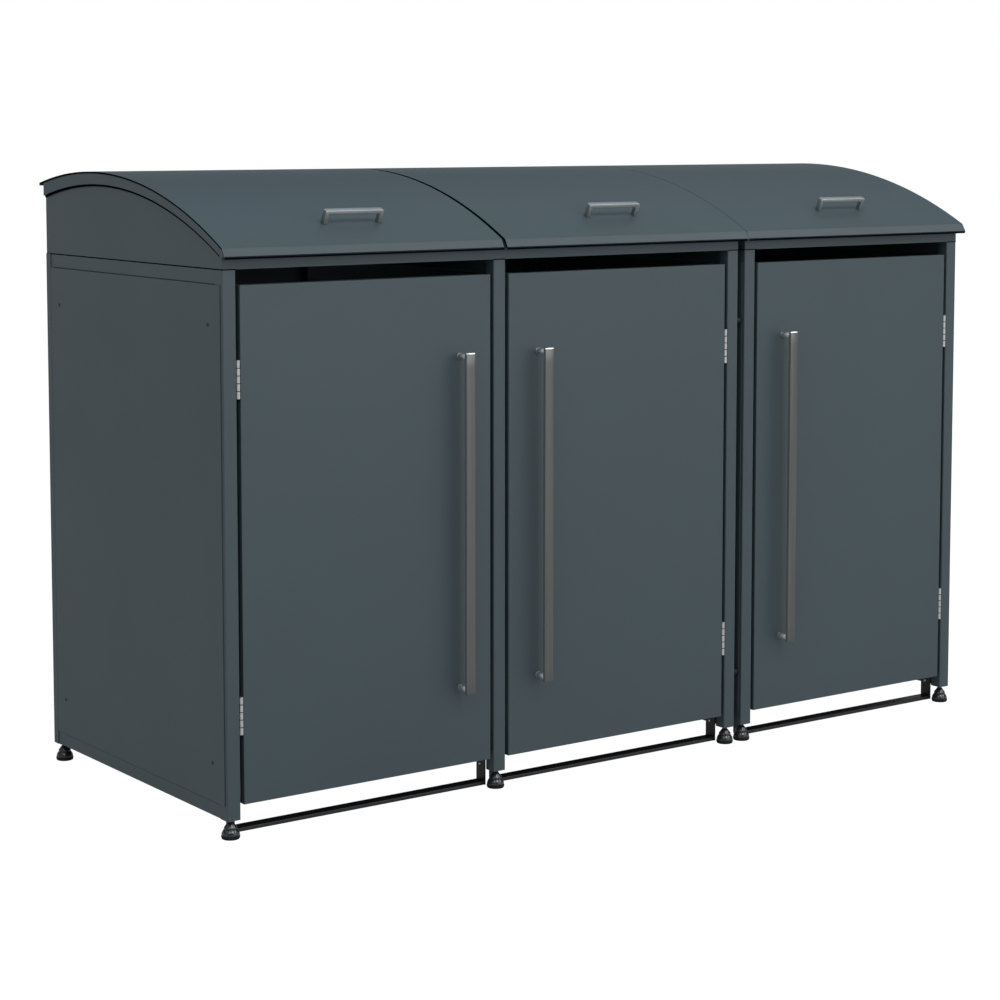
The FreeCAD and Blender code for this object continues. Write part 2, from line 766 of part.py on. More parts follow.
# Doors, their handles and hinges
post_leaves = []
catches = []
hinge_starts = (
    door_bottom + size["hinge_rise"],
    door_top - size["hinge_drop"] - size["hinge_length"],
)


def door_panel(left):
    """Folded tray with inner lips."""
    width = opening - size["door_gap"] * 2
    outer = rounded(
        box(left, zero, door_bottom, width, size["door_depth"], door_height),
        front_edges, size["fold_radius"],
    )
    cavity = box(
        left + wall, wall, door_bottom + wall,
        width - wall * 2, size["door_depth"] - wall * 2, door_height - wall * 2,
    )
    lip = size["door_lip"]
    window = box(
        left + lip, size["door_depth"] / 2, door_bottom + lip,
        width - lip * 2, size["door_depth"] / 2, door_height - lip * 2,
    )
    return cut(outer, cavity, window)


def door_handle(grip_x, low):
    """Flat bar on two round standoffs."""
    bar = eased(
        box(
            grip_x - size["grip_width"] / 2, -size["door_grip_reach"], low,
            size["grip_width"], size["grip_thick"], size["door_grip_length"],
        ),
        front_edges, size["grip_edge"],
    )
    reach = size["door_grip_reach"] - size["grip_thick"]
    ends = (low + size["standoff_end"], low + size["door_grip_length"] - size["standoff_end"])
    posts = [rod("y", grip_x, -reach, height, size["standoff_width"], reach) for height in ends]
    return fuse(bar, *posts)


def door_hinge(face, side, start):
    """Butt hinge with five knuckles: post leaf, door leaf and pin."""
    axis_x = face + size["door_gap"] / 2 if side == "right" else face - size["door_gap"] / 2
    axis_y = size["hinge_set"]
    length = size["hinge_length"]
    share = length / 5
    clear = size["knuckle_width"] / 2 + size["knuckle_gap"]
    leaf = size["leaf_wall"]
    plate_y = axis_y + clear
    plate_depth = size["hinge_depth"] - clear
    post_low, thick = span(face, side, zero, leaf)
    door_low, thick = span(face, side, size["door_gap"] - leaf, size["door_gap"])
    post_side = [box(post_low, plate_y, start, thick, plate_depth, length)]
    door_side = [box(door_low, plate_y, start, thick, plate_depth, length)]
    for step in range(5):
        base = start + share * step
        tongue = post_low if step % 2 == 0 else door_low
        inset = zero if step % 2 == 0 else size["knuckle_gap"]
        high = share - inset * 2
        target = post_side if step % 2 == 0 else door_side
        target.append(box(tongue, axis_y, base + inset, thick, clear, high))
        target.append(rod("z", axis_x, axis_y, base + inset, size["knuckle_width"], high))
    running = size["pin_width"] + size["pin_play"] * 2
    post_leaf = cut(fuse(*post_side), rod("z", axis_x, axis_y, start, size["pin_width"], length))
    door_leaf = cut(fuse(*door_side), rod("z", axis_x, axis_y, start, running, length))
    return post_leaf, door_leaf, rod("z", axis_x, axis_y, start, size["pin_width"], length)


def catch(face, side):
    """Magnetic catch on the post, behind the top of the door's free edge."""
    high = size["catch_height"]
    low = door_top - size["catch_drop"] - high
    plate_low, plate = span(face, side, zero, size["leaf_wall"])
    body_low, body = span(face, side, zero, size["leaf_wall"] + size["catch_width"])
    start = size["door_depth"] + size["rest_gap"]
    return fuse(
        box(plate_low, post / 3, low, plate, start + size["catch_depth"] - post / 3, high),
        box(body_low, start, low, body, size["catch_depth"], high),
    )


for count, bay in enumerate(bays, start=1):
    left_face = frame_left[bay["left"]] + post
    right_face = frame_left[bay["right"]]
    hinged_left = bay["hinge"] == "left"
    hinge_face, hinge_side = (left_face, "right") if hinged_left else (right_face, "left")
    free_face, free_side = (right_face, "left") if hinged_left else (left_face, "right")
    inset = size["door_gap"] + size["door_grip_inset"]
    grip_x = free_face - inset if hinged_left else free_face + inset
    grip_low = door_bottom + (door_height - size["door_grip_length"]) / 2
    node(f"door_{count}", door_panel(left_face + size["door_gap"]))
    node(f"door_handle_{count}", door_handle(grip_x, grip_low))
    leaves = []
    for start in hinge_starts:
        post_leaf, door_leaf, pin = door_hinge(hinge_face, hinge_side, start)
        post_leaves.append(post_leaf)
        leaves.append(door_leaf)
        pins.append(pin)
    node(f"door_hinge_leaf_{count}", group(*leaves))
    catches.append(catch(free_face, free_side))
node("door_hinge_post_leaves", group(*post_leaves))
node("hinge_pins", group(*pins))
node("magnet_catches", group(*catches))

# Rubber bumpers on the header; their tapered tops stop just under the closed lid
bumpers = []
for left, right in lid_ends:
    for middle in (left + size["bumper_end"], right - size["bumper_end"]):
        line_y = size["hood_flange"] / 2
        half = size["bumper_width"] / 2
        reach = size["lid_radius"] - wall - size["rest_gap"]
        across = size["lid_crest"] - line_y + half / 2
        top = lid_centre + (reach * reach - across * across).root()
        taper = doc.addObject("Part::Cone", "taper")
        bind(taper, "Radius1", half)
        bind(taper, "Radius2", half / 2)
        bind(taper, "Height", (top - header_top) / 2)
        place(taper, middle, line_y, header_top + (top - header_top) / 2)
        stem = rod("z", middle, line_y, header_top, size["bumper_width"], (top - header_top) / 2)
        bumpers.append(fuse(stem, taper))
node("lid_bumpers", group(*bumpers))

# Floor rails: a bar between two uprights that reach up behind the doors, with an ear on each post
def threshold(left_face, right_face):
    bar = rounded(
        box(left_face, post, size["rail_lift"], opening, size["threshold_width"], size["threshold_height"]),
        edges_along["x"], size["threshold_edge"],
    )
    members = [bar]
    upright = size["tab_top"] - size["rail_lift"]
    ear_low = size["tab_top"] - size["ear_height"]
    ear_depth = post - size["ear_inset"]
    for face, side in ((left_face, "right"), (right_face, "left")):
        low, thick = span(face, side, zero, size["tab_wall"])
        members.append(box(low, post, size["rail_lift"], thick, size["threshold_width"], upright))
        members.append(box(low, size["ear_inset"], ear_low, thick, ear_depth, size["ear_height"]))
    return fuse(*members)


for count, bay in enumerate(bays, start=1):
    left_face = frame_left[bay["left"]] + post
    node(f"threshold_{count}", threshold(left_face, frame_left[bay["right"]]))

# Spacer sleeves on the bolts that tie the two units together
sleeves = []
gap_left = frame_left["three"] + post + wall
gap_right = frame_left["four"] - wall
for across in (post / 2, rear_post + post / 2):
    for height in (size["tie_low"], size["tie_high"]):
        sleeves.append(cut(
            rod("x", gap_left, across, height, size["tie_sleeve"], gap_right - gap_left),
            rod("x", gap_left, across, height, size["tie_bore"], gap_right - gap_left),
        ))
node("unit_spacers", group(*sleeves))


# Levelling feet: a turned base with a sloping shoulder, a cone and the screw
def foot(label, x, y):
    body = doc.addObject("PartDesign::Body", label)
    rim = size["foot_width"] / 2
    edge = size["grip_edge"]
    collar = size["foot_collar"] / 2
    neck = size["foot_neck"] / 2
    stem = size["stem_width"] / 2
    shoulder = size["foot_shoulder"]
    top = frame_bottom - size["rest_gap"]
    profile = outline(body, "XZ_Plane", [
        (zero, zero), (rim, zero), (rim, size["foot_base"]), (size["foot_step"] / 2, shoulder),
        (collar, shoulder), (collar, shoulder + edge * 2), (neck, size["foot_cone"]), (neck, top),
        (stem, top), (stem, size["stem_top"]), (zero, size["stem_top"]),
    ])
    turned = body.newObject("PartDesign::Revolution", "turned")
    turned.Profile = profile
    turned.ReferenceAxis = (profile, ["V_Axis"])
    turned.Angle = 360
    body.Label = label
    place(body, shift_x + x, shift_y + y, zero)
    nodes[label] = body


number = 0
for y in (post / 2, rear_post + post / 2):
    for left in frame_left.values():
        number += 1
        foot(f"foot_{number}", left + post / 2, y)

doc.recompute()

faults = [item.Name for item in doc.Objects if "Invalid" in item.State or "Error" in item.State]
if faults:
    raise RuntimeError(f"failed objects: {faults}")
for label, item in nodes.items():
    if item.Shape.isNull() or not item.Shape.isValid():
        raise RuntimeError(f"bad shape: {label}")

os.makedirs("parts", exist_ok=True)
for label, item in nodes.items():
    item.Shape.exportStep(f"parts/{label}.step")
print(f"{len(nodes)} nodes written")
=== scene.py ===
import json
import math

import bpy
import numpy as np
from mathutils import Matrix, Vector


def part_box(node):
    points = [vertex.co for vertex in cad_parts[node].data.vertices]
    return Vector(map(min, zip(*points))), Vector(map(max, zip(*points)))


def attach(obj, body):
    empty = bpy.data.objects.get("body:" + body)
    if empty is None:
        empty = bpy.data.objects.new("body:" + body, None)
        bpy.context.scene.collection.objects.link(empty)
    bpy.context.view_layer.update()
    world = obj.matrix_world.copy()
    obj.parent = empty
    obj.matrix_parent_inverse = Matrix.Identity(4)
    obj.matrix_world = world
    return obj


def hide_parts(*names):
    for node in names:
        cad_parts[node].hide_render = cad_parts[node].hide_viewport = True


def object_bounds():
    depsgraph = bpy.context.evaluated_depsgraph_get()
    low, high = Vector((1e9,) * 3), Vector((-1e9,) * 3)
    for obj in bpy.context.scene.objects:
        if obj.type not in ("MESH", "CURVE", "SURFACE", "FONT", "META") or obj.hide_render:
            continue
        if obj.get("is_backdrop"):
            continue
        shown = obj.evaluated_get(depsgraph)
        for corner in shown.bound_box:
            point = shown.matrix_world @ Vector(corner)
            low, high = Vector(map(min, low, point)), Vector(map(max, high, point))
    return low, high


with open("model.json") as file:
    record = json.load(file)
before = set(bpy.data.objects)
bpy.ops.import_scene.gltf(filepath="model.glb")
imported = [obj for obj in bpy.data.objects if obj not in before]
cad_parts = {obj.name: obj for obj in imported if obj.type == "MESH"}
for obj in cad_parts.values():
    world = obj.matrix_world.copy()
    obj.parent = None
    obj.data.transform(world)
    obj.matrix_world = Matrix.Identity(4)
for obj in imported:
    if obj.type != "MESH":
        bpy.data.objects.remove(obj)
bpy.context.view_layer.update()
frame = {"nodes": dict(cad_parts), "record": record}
nodes = frame["nodes"]
mm = 0.001  # places are in metres; sizes are in millimetres and get this factor


# Linear colour with alpha from an sRGB hex code: a straight line near black, a power of 2.4 above it
def toLinear(code):
    channels = np.array([int(code[start:start + 2], 16) for start in (1, 3, 5)]) / 255
    linear = np.where(channels <= 0.04045, channels / 12.92, ((channels + 0.055) / 1.055) ** 2.4)
    return (*linear.tolist(), 1.0)


# Adds a node with its properties; each socket gets a link from another node's output or a plain value
def addNode(tree, kind, sockets=None, **properties):
    node = tree.nodes.new(kind)
    for key, value in properties.items():
        setattr(node, key, value)
    for socket, source in (sockets or {}).items():
        if isinstance(source, bpy.types.NodeSocket):
            tree.links.new(source, node.inputs[socket])
        else:
            node.inputs[socket].default_value = source
    return node


def newMaterial(name):
    material = bpy.data.materials.new(name)
    material.use_nodes = True
    return material, material.node_tree, material.node_tree.nodes["Principled BSDF"]


# Soft noise whose patches are about the given size in millimetres, drawn out along an axis of small stretch
def patches(tree, size, stretch=(1, 1, 1), detail=3.0):
    place = addNode(tree, "ShaderNodeTexCoord").outputs["Object"]
    stretched = addNode(tree, "ShaderNodeMapping", {"Vector": place, "Scale": stretch}).outputs["Vector"]
    noise = addNode(tree, "ShaderNodeTexNoise", {
        "Vector": stretched, "Scale": 1 / (size * mm), "Detail": detail, "Roughness": 0.55,
    })
    return noise.outputs["Fac"]


# Colour goes from dark to light with one pattern, and roughness between its two values with another
def varied(tree, shader, look, tonePattern, glossPattern):
    tone = addNode(tree, "ShaderNodeMix", {
        "Factor": tonePattern, 6: toLinear(look["dark"]), 7: toLinear(look["light"]),
    }, data_type="RGBA")
    glossy, matt = look["roughness"]
    gloss = addNode(tree, "ShaderNodeMapRange", {"Value": glossPattern, "To Min": glossy, "To Max": matt})
    tree.links.new(tone.outputs[2], shader.inputs["Base Color"])
    tree.links.new(gloss.outputs["Result"], shader.inputs["Roughness"])


# Hard edges catch the light as if rounded by the radius, and the pattern lies over them as a fine relief
def eased(tree, shader, radius, pattern, strength, depth=0.05):
    edge = addNode(tree, "ShaderNodeBevel", {"Radius": radius * mm}, samples=4)
    relief = addNode(tree, "ShaderNodeBump", {
        "Height": pattern, "Normal": edge.outputs["Normal"], "Strength": strength, "Distance": depth * mm,
    })
    tree.links.new(relief.outputs["Normal"], shader.inputs["Normal"])


# Powder coat: baked on as a thick even skin, with slow clouds of tone and a fine orange peel of real size
powder = {"clouds": 454.5, "sheen": 200.0, "peel": 2 / 3, "edge": 0.8}


def powderCoat(name, look):
    material, tree, shader = newMaterial(name)
    shader.inputs["Specular IOR Level"].default_value = look["shine"]
    varied(tree, shader, look, patches(tree, powder["clouds"]), patches(tree, powder["sheen"], detail=5.0))
    eased(tree, shader, powder["edge"], patches(tree, powder["peel"], detail=2.0), look["relief"])
    return material


# Stainless steel, brushed: lines that run where the stretch is small, drawn coarser than the real 0.2 mm
brushed = {"lines": 3.846, "relief": 0.12, "edge": 0.3}


def brushedSteel(name, look, stretch):
    material, tree, shader = newMaterial(name)
    shader.inputs["Metallic"].default_value = 1.0
    lines = patches(tree, brushed["lines"], stretch, 6.0)
    varied(tree, shader, look, lines, lines)
    eased(tree, shader, brushed["edge"], lines, brushed["relief"])
    return material


# Zinc plate: small soft flakes that change in tone and gloss, drawn coarser than the real 1 mm
plated = {"flakes": 4.167, "relief": 0.08, "edge": 0.3}


def zincPlate(name, look):
    material, tree, shader = newMaterial(name)
    shader.inputs["Metallic"].default_value = 1.0
    flakes = patches(tree, plated["flakes"], detail=4.0)
    varied(tree, shader, look, flakes, flakes)
    eased(tree, shader, plated["edge"], flakes, plated["relief"])
    return material


# Moulded plastic, rubber and foam: even, with the grain of the mould drawn coarser than the real 0.2 mm
moulded = {"clouds": 33.33, "relief": 0.05, "edge": 0.5}


def mouldedPlastic(name, look):
    material, tree, shader = newMaterial(name)
    shader.inputs["Specular IOR Level"].default_value = look["shine"]
    clouds = patches(tree, moulded["clouds"])
    varied(tree, shader, look, clouds, clouds)
    eased(tree, shader, moulded["edge"], patches(tree, look["grain"], detail=2.0), moulded["relief"])
    return material


# Half-matt cool grey of the panels, doors and lids, with wide soft highlights
coat = {"dark": "#333e42", "light": "#374347", "roughness": (0.46, 0.55), "relief": 0.09, "shine": 0.4}
# Deeper and a little glossier on the floor rails
blackCoat = {"dark": "#0b0d0e", "light": "#121415", "roughness": (0.36, 0.46), "relief": 0.08, "shine": 0.4}
# Painted shade: nearly black and almost without gloss, the shade along the side edges of the lid sheets laid
# on as a colour
shadedCoat = {"dark": "#0a0e10", "light": "#0e1315", "roughness": (0.5, 0.6), "relief": 0.05, "shine": 0.02}
# Painted shade: the rivet heads are darker than the sheet around them, for the low part of the room that the
# small domes mirror
rivetShadeCoat = {"dark": "#1a2123", "light": "#1f2729", "roughness": (0.5, 0.6), "relief": 0.05, "shine": 0.4}
# Partly painted light: an even dull grey, lighter than the steel's reflections would leave the narrow faces;
# ground faces scatter the light as a coat does, and show no reflections
groundAndLitGrey = {"dark": "#565755", "light": "#60615f", "roughness": (0.5, 0.6), "relief": 0.05, "shine": 0.4}

steel = {"dark": "#595a58", "light": "#6e6f6d", "roughness": (0.28, 0.4)}  # dark satin with long streaks
bowSteel = {"dark": "#9c9e9e", "light": "#b0b2b2", "roughness": (0.4, 0.5)}  # pale and dull silver
# Painted highlight: a bright, mirror-like copy of the handle steel for the upward faces of the bars' top
# ends
highlightPolish = {"dark": "#d8d9d9", "light": "#e8e8e8", "roughness": (0.12, 0.2)}  # bright, close to a mirror
zinc = {"dark": "#aaa8a8", "light": "#cccac9", "roughness": (0.22, 0.4)}  # pale silver with soft flakes
# Painted shade: the spacers between the units are dark grey for the shade in the gap between them
spacerShadeZinc = {"dark": "#242628", "light": "#313437", "roughness": (0.5, 0.65)}  # dull dark grey

# Black with small sharp highlights, then dark and matt, then blue-black with no highlight at all for the
# dark strips of painted shade
plastic = {"dark": "#1a1c1e", "light": "#25282a", "roughness": (0.17, 0.25), "grain": 1.111, "shine": 0.5}
rubber = {"dark": "#0d0e0f", "light": "#151718", "roughness": (0.7, 0.85), "grain": 1.4286, "shine": 0.2}
stripLook = {"dark": "#04070a", "light": "#070b0e", "roughness": (0.8, 0.9), "grain": 1.4286, "shine": 0.0}

upright = (1, 1, 0.012)
level = (0.012, 1, 1)
materials = {
    "powder_coat": powderCoat("anthracite powder coat on steel", coat),
    "black_steel": powderCoat("black powder coat on steel", blackCoat),
    "handle_steel": brushedSteel("brushed stainless steel, upright grain", steel, upright),
    "hinge_steel": zincPlate("zinc-plated steel", zinc),
    "black_plastic": mouldedPlastic("moulded black plastic", plastic),
    "rubber": mouldedPlastic("black rubber", rubber),
}
crossSteel = brushedSteel("brushed stainless steel, level grain", bowSteel, level)
# Painted shade for the side edges of the lid sheets
paintedEdgeShade = powderCoat("painted shade on the lid sheet edges", shadedCoat)
shadedSpacerZinc = zincPlate("zinc plate with painted shade", spacerShadeZinc)
# Painted shade: the material of the dark strips that stand for shade lines
shadeStripMaterial = mouldedPlastic("blue-black strips of painted shade", stripLook)
# Painted shade on the heads of the side panel rivets
shadedRivetHeads = powderCoat("painted shade on rivet heads", rivetShadeCoat)
# Painted light on the narrow faces of the door bars
litSideSteel = powderCoat("matt ground steel with painted light on the narrow faces", groundAndLitGrey)
# Painted highlight on the upward faces of the door bars' top ends
paintedHighlightSteel = brushedSteel("stainless steel with painted highlight", highlightPolish, (1, 1, 1))

slotOf = {row["node"]: row["material_slot"] for row in frame["record"]["subparts"]}
for name, item in nodes.items():
    item.data.materials.clear()
    item.data.materials.append(materials[slotOf[name]])
# Painted shade: the spacers get the dark zinc, for the shade seen in the gap between the units
nodes["unit_spacers"].data.materials[0] = shadedSpacerZinc

# Painted shade: the side edges of the lid sheets get a nearly black coat for the shade along them, but for
# the joint between the units
edgeTolerance = 0.1 * mm
for number in (1, 2, 3):
    mesh = nodes[f"lid_{number}"].data
    mesh.materials.append(paintedEdgeShade)
    low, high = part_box(f"lid_{number}")
    for face in mesh.polygons:
        leftEdge = abs(face.center.x - low[0]) < edgeTolerance and number != 3
        rightEdge = abs(face.center.x - high[0]) < edgeTolerance and number != 2
        if leftEdge or rightEdge:
            face.material_index = 1
print("materials on", len(nodes), "nodes")


# A shape is a pair of points and faces; it becomes a piece in the material of its slot, unless one is given
def finishPiece(name, shape, body, slot, material=None):
    points, faces = shape
    mesh = bpy.data.meshes.new(name)
    mesh.from_pydata(points.tolist(), [], faces)
    mesh.validate()
    mesh.polygons.foreach_set("use_smooth", [True] * len(mesh.polygons))
    mesh.materials.append(material or materials[slot])
    piece = bpy.data.objects.new(name, mesh)
    bpy.context.scene.collection.objects.link(piece)
    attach(piece, body)
    return piece


# One shape from several: the faces of each are counted on from the points before it
def joined(shapes):
    points, faces, start = [], [], 0
    for shapePoints, shapeFaces in shapes:
        points.append(shapePoints)
        faces += [tuple(start + index for index in face) for face in shapeFaces]
        start += len(shapePoints)
    return np.concatenate(points), faces


# Grid of rings by points round each ring: quads between neighbours, and a cap on the first and last ring
def skin(rings):
    rings = np.array(rings)
    rows, count = rings.shape[:2]
    row, step = np.indices((rows - 1, count))
    here = row * count + step
    beside = row * count + (step + 1) % count
    quads = np.stack([here, beside, beside + count, here + count], axis=-1).reshape(-1, 4)
    last = (rows - 1) * count
    caps = [tuple(reversed(range(count))), tuple(range(last, last + count))]
    return rings.reshape(-1, 3), [tuple(quad) for quad in quads.tolist()] + caps


# The axis at unit length, and two directions square to it and to each other
def frameFor(axis):
    axis = np.array(axis, float)
    axis /= np.linalg.norm(axis)
    steep = abs(axis[2]) >= 0.9
    first = np.cross((1.0, 0.0, 0.0) if steep else (0.0, 0.0, 1.0), axis)
    first /= np.linalg.norm(first)
    return axis, first, np.cross(axis, first)


# Turned surface: each (radius, distance along the axis) pair of the profile is carried round a circle of
# angles; with flats the radius follows the straight sides of a polygon: cos(half side) / cos(angle off it)
def turned(profile, centre, axis, sides=40, flats=0):
    axis, first, second = frameFor(axis)
    angles = np.linspace(0, 2 * math.pi, sides, endpoint=False)
    share = np.ones(sides)
    if flats:
        half = math.pi / flats
        share = math.cos(half) / np.cos(angles % (2 * half) - half)
    spokes = np.outer(np.cos(angles) * share, first) + np.outer(np.sin(angles) * share, second)
    radius, along = np.array(profile, float).T[:, :, None, None] * mm
    return skin(np.array(centre) + along * axis + radius * spokes)


# Soft bend: (1 - t) squared of the start, 2 t (1 - t) of the corner and t squared of the end
def bent(start, corner, end, steps):
    t = np.linspace(0, 1, steps + 1)[:, None]
    return (1 - t) ** 2 * start + 2 * t * (1 - t) * corner + t ** 2 * end


# A soft bend takes the place of each inner corner, over the radius or just under half of a shorter side
def roundedProfile(corners, radius, steps=4):
    underHalf = 1 / 2.05
    corners = np.array(corners, float)
    made = [corners[:1]]
    for before, corner, after in zip(corners, corners[1:], corners[2:]):
        lengths = np.linalg.norm(before - corner), np.linalg.norm(after - corner)
        reach = min(radius, lengths[0] * underHalf, lengths[1] * underHalf)
        start = corner + (before - corner) / max(lengths[0], 1e-6) * reach
        end = corner + (after - corner) / max(lengths[1], 1e-6) * reach
        made.append(bent(start, corner, end, steps))
    return np.concatenate([*made, corners[-1:]])


# Rounded rectangle about its centre: a quarter circle of the radius at each of the four corners
def roundedRing(width, height, radius, steps=4):
    corners = np.array([(1, 1), (-1, 1), (-1, -1), (1, -1)]) * (width / 2 - radius, height / 2 - radius)
    angles = np.radians(np.arange(0, 360, 90)[:, None] + np.linspace(0, 90, steps + 1))
    arcs = radius * np.stack([np.cos(angles), np.sin(angles)], axis=-1)
    return (corners[:, None] + arcs).reshape(-1, 2)


# Bar with rounded edges: its rounded section, width by thick, is carried along a path that lies square to
# the across direction. The ends draw in by (inset, distance) pairs, and the width by a share of the inset.
def sweptBar(path, bar, across):
    edge = bar["edge"]
    tip = bar.get("tip", ((0.7 * edge, 0.0), (0.2 * edge, 0.3 * edge), (0.0, edge)))
    sideShare = bar.get("tipSide", 1.0)
    across = np.array(across, float)
    padded = np.concatenate([path[:1], path, path[-1:]])
    along = padded[2:] - padded[:-2]
    along /= np.linalg.norm(along, axis=1, keepdims=True)
    outward = np.cross(along, across)
    last = len(path) - 1
    stations = [(0, inset, shift) for inset, shift in tip]
    stations += [(index, 0.0, 0.0) for index in range(1, last)]
    stations += [(last, inset, -shift) for inset, shift in reversed(tip)]
    rings = []
    for index, inset, shift in stations:
        width = bar["width"] - 2 * inset * sideShare
        ring = roundedRing(width, bar["thick"] - 2 * inset, edge) * mm
        middle = path[index] + along[index] * shift * mm
        rings.append(middle + np.outer(ring[:, 0], across) + np.outer(ring[:, 1], outward[index]))
    return skin(rings)


# Blind rivet: a low dome with the hollow of its pulled stem, in shares of its radius and height
rivet = {"head": 8.0, "height": 1.5, "hole": 2.6, "rim": 0.25, "soft": 0.3}


def rivetAt(point, outward):
    r, h, hole = rivet["head"] / 2, rivet["height"], rivet["hole"] / 2
    profile = [(r, 0), (r, 0.15 * h), (0.93 * r, 0.42 * h), (0.75 * r, 0.78 * h), (hole + rivet["rim"], h)]
    profile += [(hole, 0.93 * h), (0.92 * hole, 0.4 * h), (0.3 * hole, 0.34 * h)]
    return turned(roundedProfile(profile, rivet["soft"], 2), point, outward, 28)


# Button-head screw: a turned dome, and a socket with six flats sunk into its flat top
screw = {"head": 9.5, "height": 3.0, "socket": 3.6, "soft": 0.35}


def screwAt(point, outward, scale=1.0):
    r, h, s = screw["head"] / 2 * scale, screw["height"] * scale, screw["socket"] / 2 * scale
    rim = 1.12 * s
    profile = [(r, 0), (r, 0.18 * h), (0.9 * r, 0.5 * h), (0.7 * r, 0.82 * h), (0.52 * r, h), (rim, h)]
    domePoints, domeFaces = turned(roundedProfile(profile, screw["soft"], 2), point, outward, 36)
    hollow = [(rim, h), (s, 0.92 * h), (s, 0.3 * h), (0.2 * s, 0.26 * h)]
    socketPoints, socketFaces = turned(hollow, point, outward, 36, 6)
    openDome = domeFaces[:-1]
    openSocket = socketFaces[:-2] + socketFaces[-1:]
    return joined([(domePoints, openDome), (socketPoints, openSocket)])


def box(name):
    low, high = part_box(name)
    return np.array(low), np.array(high)


sheet = 1.5 * mm  # thickness of the panels, doors and lids
frontFace = box("side_frame_1")[0][1]
backFace = box("back_panel_double")[1][1]
frameLow, frameHigh = (corner[2] for corner in box("side_frame_1"))
outerSides = ((1, 1, -1), (2, 3, 1), (3, 4, -1), (3, 5, 1))  # lid, side frame and the way that it faces

# Side panel rivets, four on each outer sheet, with painted shade on their heads
sideRivets = {"front": 56.0, "rear": 61.0, "low": 107.0, "high": 109.0}
depths = (frontFace + sideRivets["front"] * mm, backFace - sideRivets["rear"] * mm)
heights = (frameLow + sideRivets["low"] * mm, frameHigh - sideRivets["high"] * mm)
for number, side in ((1, -1), (2, 1), (3, -1), (4, 1)):
    low, high = box(f"side_panel_{number}")
    face = low[0] if side < 0 else high[0]
    rivets = [rivetAt((face, y, z), (side, 0, 0)) for y in depths for z in heights]
    finishPiece(f"side_rivets_{number}", joined(rivets), "store", "powder_coat", shadedRivetHeads)

# Back panel rivets along the posts
backRivets = {"edge": 16.5, "end": 60.0, "rows": 5}
for unit in ("double", "single"):
    low, high = box(f"back_panel_{unit}")
    columns = (low[0] + backRivets["edge"] * mm, high[0] - backRivets["edge"] * mm)
    rows = np.linspace(low[2] + backRivets["end"] * mm, high[2] - backRivets["end"] * mm, backRivets["rows"])
    rivets = [rivetAt((x, high[1], z), (0, 1, 0)) for x in columns for z in rows]
    finishPiece(f"back_rivets_{unit}", joined(rivets), "store", "powder_coat")
print("rivets")

# Painted shade: dark strips in the joint between hood and frame, along the outer sides and over the front
# posts, for the shade line there
jointShade = {
    "width": 2.4, "thick": 1.0, "edge": 0.3, "proud": 0.12, "drop": 0.1,
    "front": 0.4, "rear": 2.0, "side": 0.2,
}
jointZ = frameHigh - jointShade["drop"] * mm
inset = (jointShade["thick"] / 2 - jointShade["proud"]) * mm
frontEnd, rearEnd = frontFace + jointShade["front"] * mm, backFace - jointShade["rear"] * mm
stripShapes = []
for _, post, side in outerSides:
    low, high = box(f"side_frame_{post}")
    x = low[0] + inset if side < 0 else high[0] - inset
    path = np.linspace((x, frontEnd, jointZ), (x, rearEnd, jointZ), 12)
    stripShapes.append(sweptBar(path, jointShade, (0, 0, 1)))
y = frontFace + inset
for post in range(1, 6):
    low, high = box(f"side_frame_{post}")
    leftEnd, rightEnd = low[0] + jointShade["side"] * mm, high[0] - jointShade["side"] * mm
    path = np.linspace((leftEnd, y, jointZ), (rightEnd, y, jointZ), 5)
    stripShapes.append(sweptBar(path, jointShade, (0, 0, 1)))
finishPiece("hood_joint_shade_strips", joined(stripShapes), "store", "rubber", shadeStripMaterial)

# Dressed welds that close the grooves where the rails meet the posts, just inside the post's width
weld = {"width": 3.2, "thick": 0.8, "edge": 0.3, "proud": 0.03, "groove": 28.75, "rail": 30.0, "end": 2.0}
inset = (weld["thick"] / 2 - weld["proud"]) * mm
welds = []
for _, post, side in outerSides:
    low, high = box(f"side_frame_{post}")
    x = low[0] + inset if side < 0 else high[0] - inset
    for y in (low[1] + weld["groove"] * mm, high[1] - weld["groove"] * mm):
        for base in (frameLow, frameHigh - weld["rail"] * mm):
            start, end = base + weld["end"] * mm, base + (weld["rail"] - weld["end"]) * mm
            welds.append(sweptBar(np.linspace((x, y, start), (x, y, end), 4), weld, (0, 1, 0)))
finishPiece("rail_welds", joined(welds), "store", "powder_coat")

# Lid sheets: radius of the outer face, depth of its highest line behind the front face, and height of the
# lip's edge over the frame
lidShape = {"radius": 1160.0, "crest": 535.0, "lip": 24.4}


def lidCentre(lid):
    top = box(f"lid_{lid}")[1][2]
    return frontFace + lidShape["crest"] * mm, top - lidShape["radius"] * mm


# Circle seen from the side, between two depths: y = centre + radius sin a and z = centre + radius cos a
def lidArc(x, centre, radius, front, rear, count=60):
    y, z = centre
    angles = np.linspace(math.asin((front - y) / radius), math.asin((rear - y) / radius), count)
    return np.column_stack([np.full(count, x), y + radius * np.sin(angles), z + radius * np.cos(angles)])


